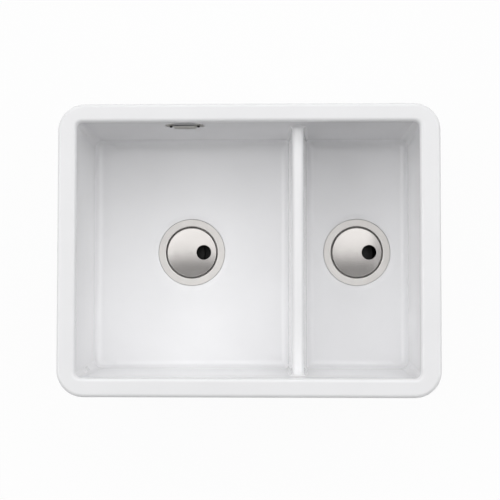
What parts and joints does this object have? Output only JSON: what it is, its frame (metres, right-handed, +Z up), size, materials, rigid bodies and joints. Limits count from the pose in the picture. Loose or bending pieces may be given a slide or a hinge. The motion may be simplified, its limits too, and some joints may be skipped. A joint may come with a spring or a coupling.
{
  "type": "undermount kitchen sink",
  "caption": "Glazed ceramic undermount kitchen sink with a main bowl, a half bowl, a lowered divider, basket strainer wastes with lids and an overflow.",
  "frame": {"origin": "centre of the rim's top face, the face that meets the worktop's underside", "axes": "+X along the length towards the half bowl, +Y to the back wall with the overflow, +Z up"},
  "size_m": [0.595, 0.476, 0.295],
  "materials": {
    "glazed_ceramic": "white gloss glaze",
    "strainer_steel": "satin stainless steel",
    "cup_steel": "brushed stainless steel",
    "seal_rubber": "black moulded rubber",
    "waste_plastic": "white moulded plastic",
    "black_plastic": "black moulded plastic",
    "nut_brass": "machined brass"
  },
  "bodies": {
    "sink": {"ceramic_sink": "glazed_ceramic", "main_strainer_cup": "cup_steel", "main_flange_gasket": "seal_rubber", "main_under_gasket": "seal_rubber", "main_waste_body": "waste_plastic", "main_fixing_screw": "strainer_steel", "main_captive_nut": "nut_brass", "half_strainer_cup": "cup_steel", "half_flange_gasket": "seal_rubber", "half_under_gasket": "seal_rubber", "half_waste_body": "waste_plastic", "half_fixing_screw": "strainer_steel", "half_captive_nut": "nut_brass", "overflow_cover": "strainer_steel", "overflow_screws": "black_plastic", "overflow_gasket": "seal_rubber", "overflow_elbow": "waste_plastic", "overflow_pipe": "waste_plastic", "overflow_upper_washer": "seal_rubber", "overflow_upper_nut": "waste_plastic", "overflow_lower_washer": "seal_rubber", "overflow_lower_nut": "waste_plastic", "half_inlet_washer": "seal_rubber", "half_inlet_cap": "waste_plastic"},
    "main_basket": {"main_basket": "black_plastic"},
    "main_plug": {"main_plug_stem": "black_plastic", "main_plug_seal": "seal_rubber", "main_plug_knob": "black_plastic"},
    "main_lid": {"main_lid": "strainer_steel"},
    "half_basket": {"half_basket": "black_plastic"},
    "half_plug": {"half_plug_stem": "black_plastic", "half_plug_seal": "seal_rubber", "half_plug_knob": "black_plastic"},
    "half_lid": {"half_lid": "strainer_steel"}
  },
  "joints": [
    {"name": "main_basket_lift", "type": "slide", "parent": "sink", "child": "main_basket", "axis": [0, 0, 1], "range_m": [0, 0.25]},
    {"name": "main_plug_pull", "type": "slide", "parent": "main_basket", "child": "main_plug", "axis": [0, 0, 1], "range_m": [0, 0.006]},
    {"name": "main_lid_lift", "type": "slide", "parent": "main_basket", "child": "main_lid", "axis": [0, 0, 1], "range_m": [0, 0.2]},
    {"name": "half_basket_lift", "type": "slide", "parent": "sink", "child": "half_basket", "axis": [0, 0, 1], "range_m": [0, 0.25]},
    {"name": "half_plug_pull", "type": "slide", "parent": "half_basket", "child": "half_plug", "axis": [0, 0, 1], "range_m": [0, 0.006]},
    {"name": "half_lid_lift", "type": "slide", "parent": "half_basket", "child": "half_lid", "axis": [0, 0, 1], "range_m": [0, 0.2]}
  ]
}
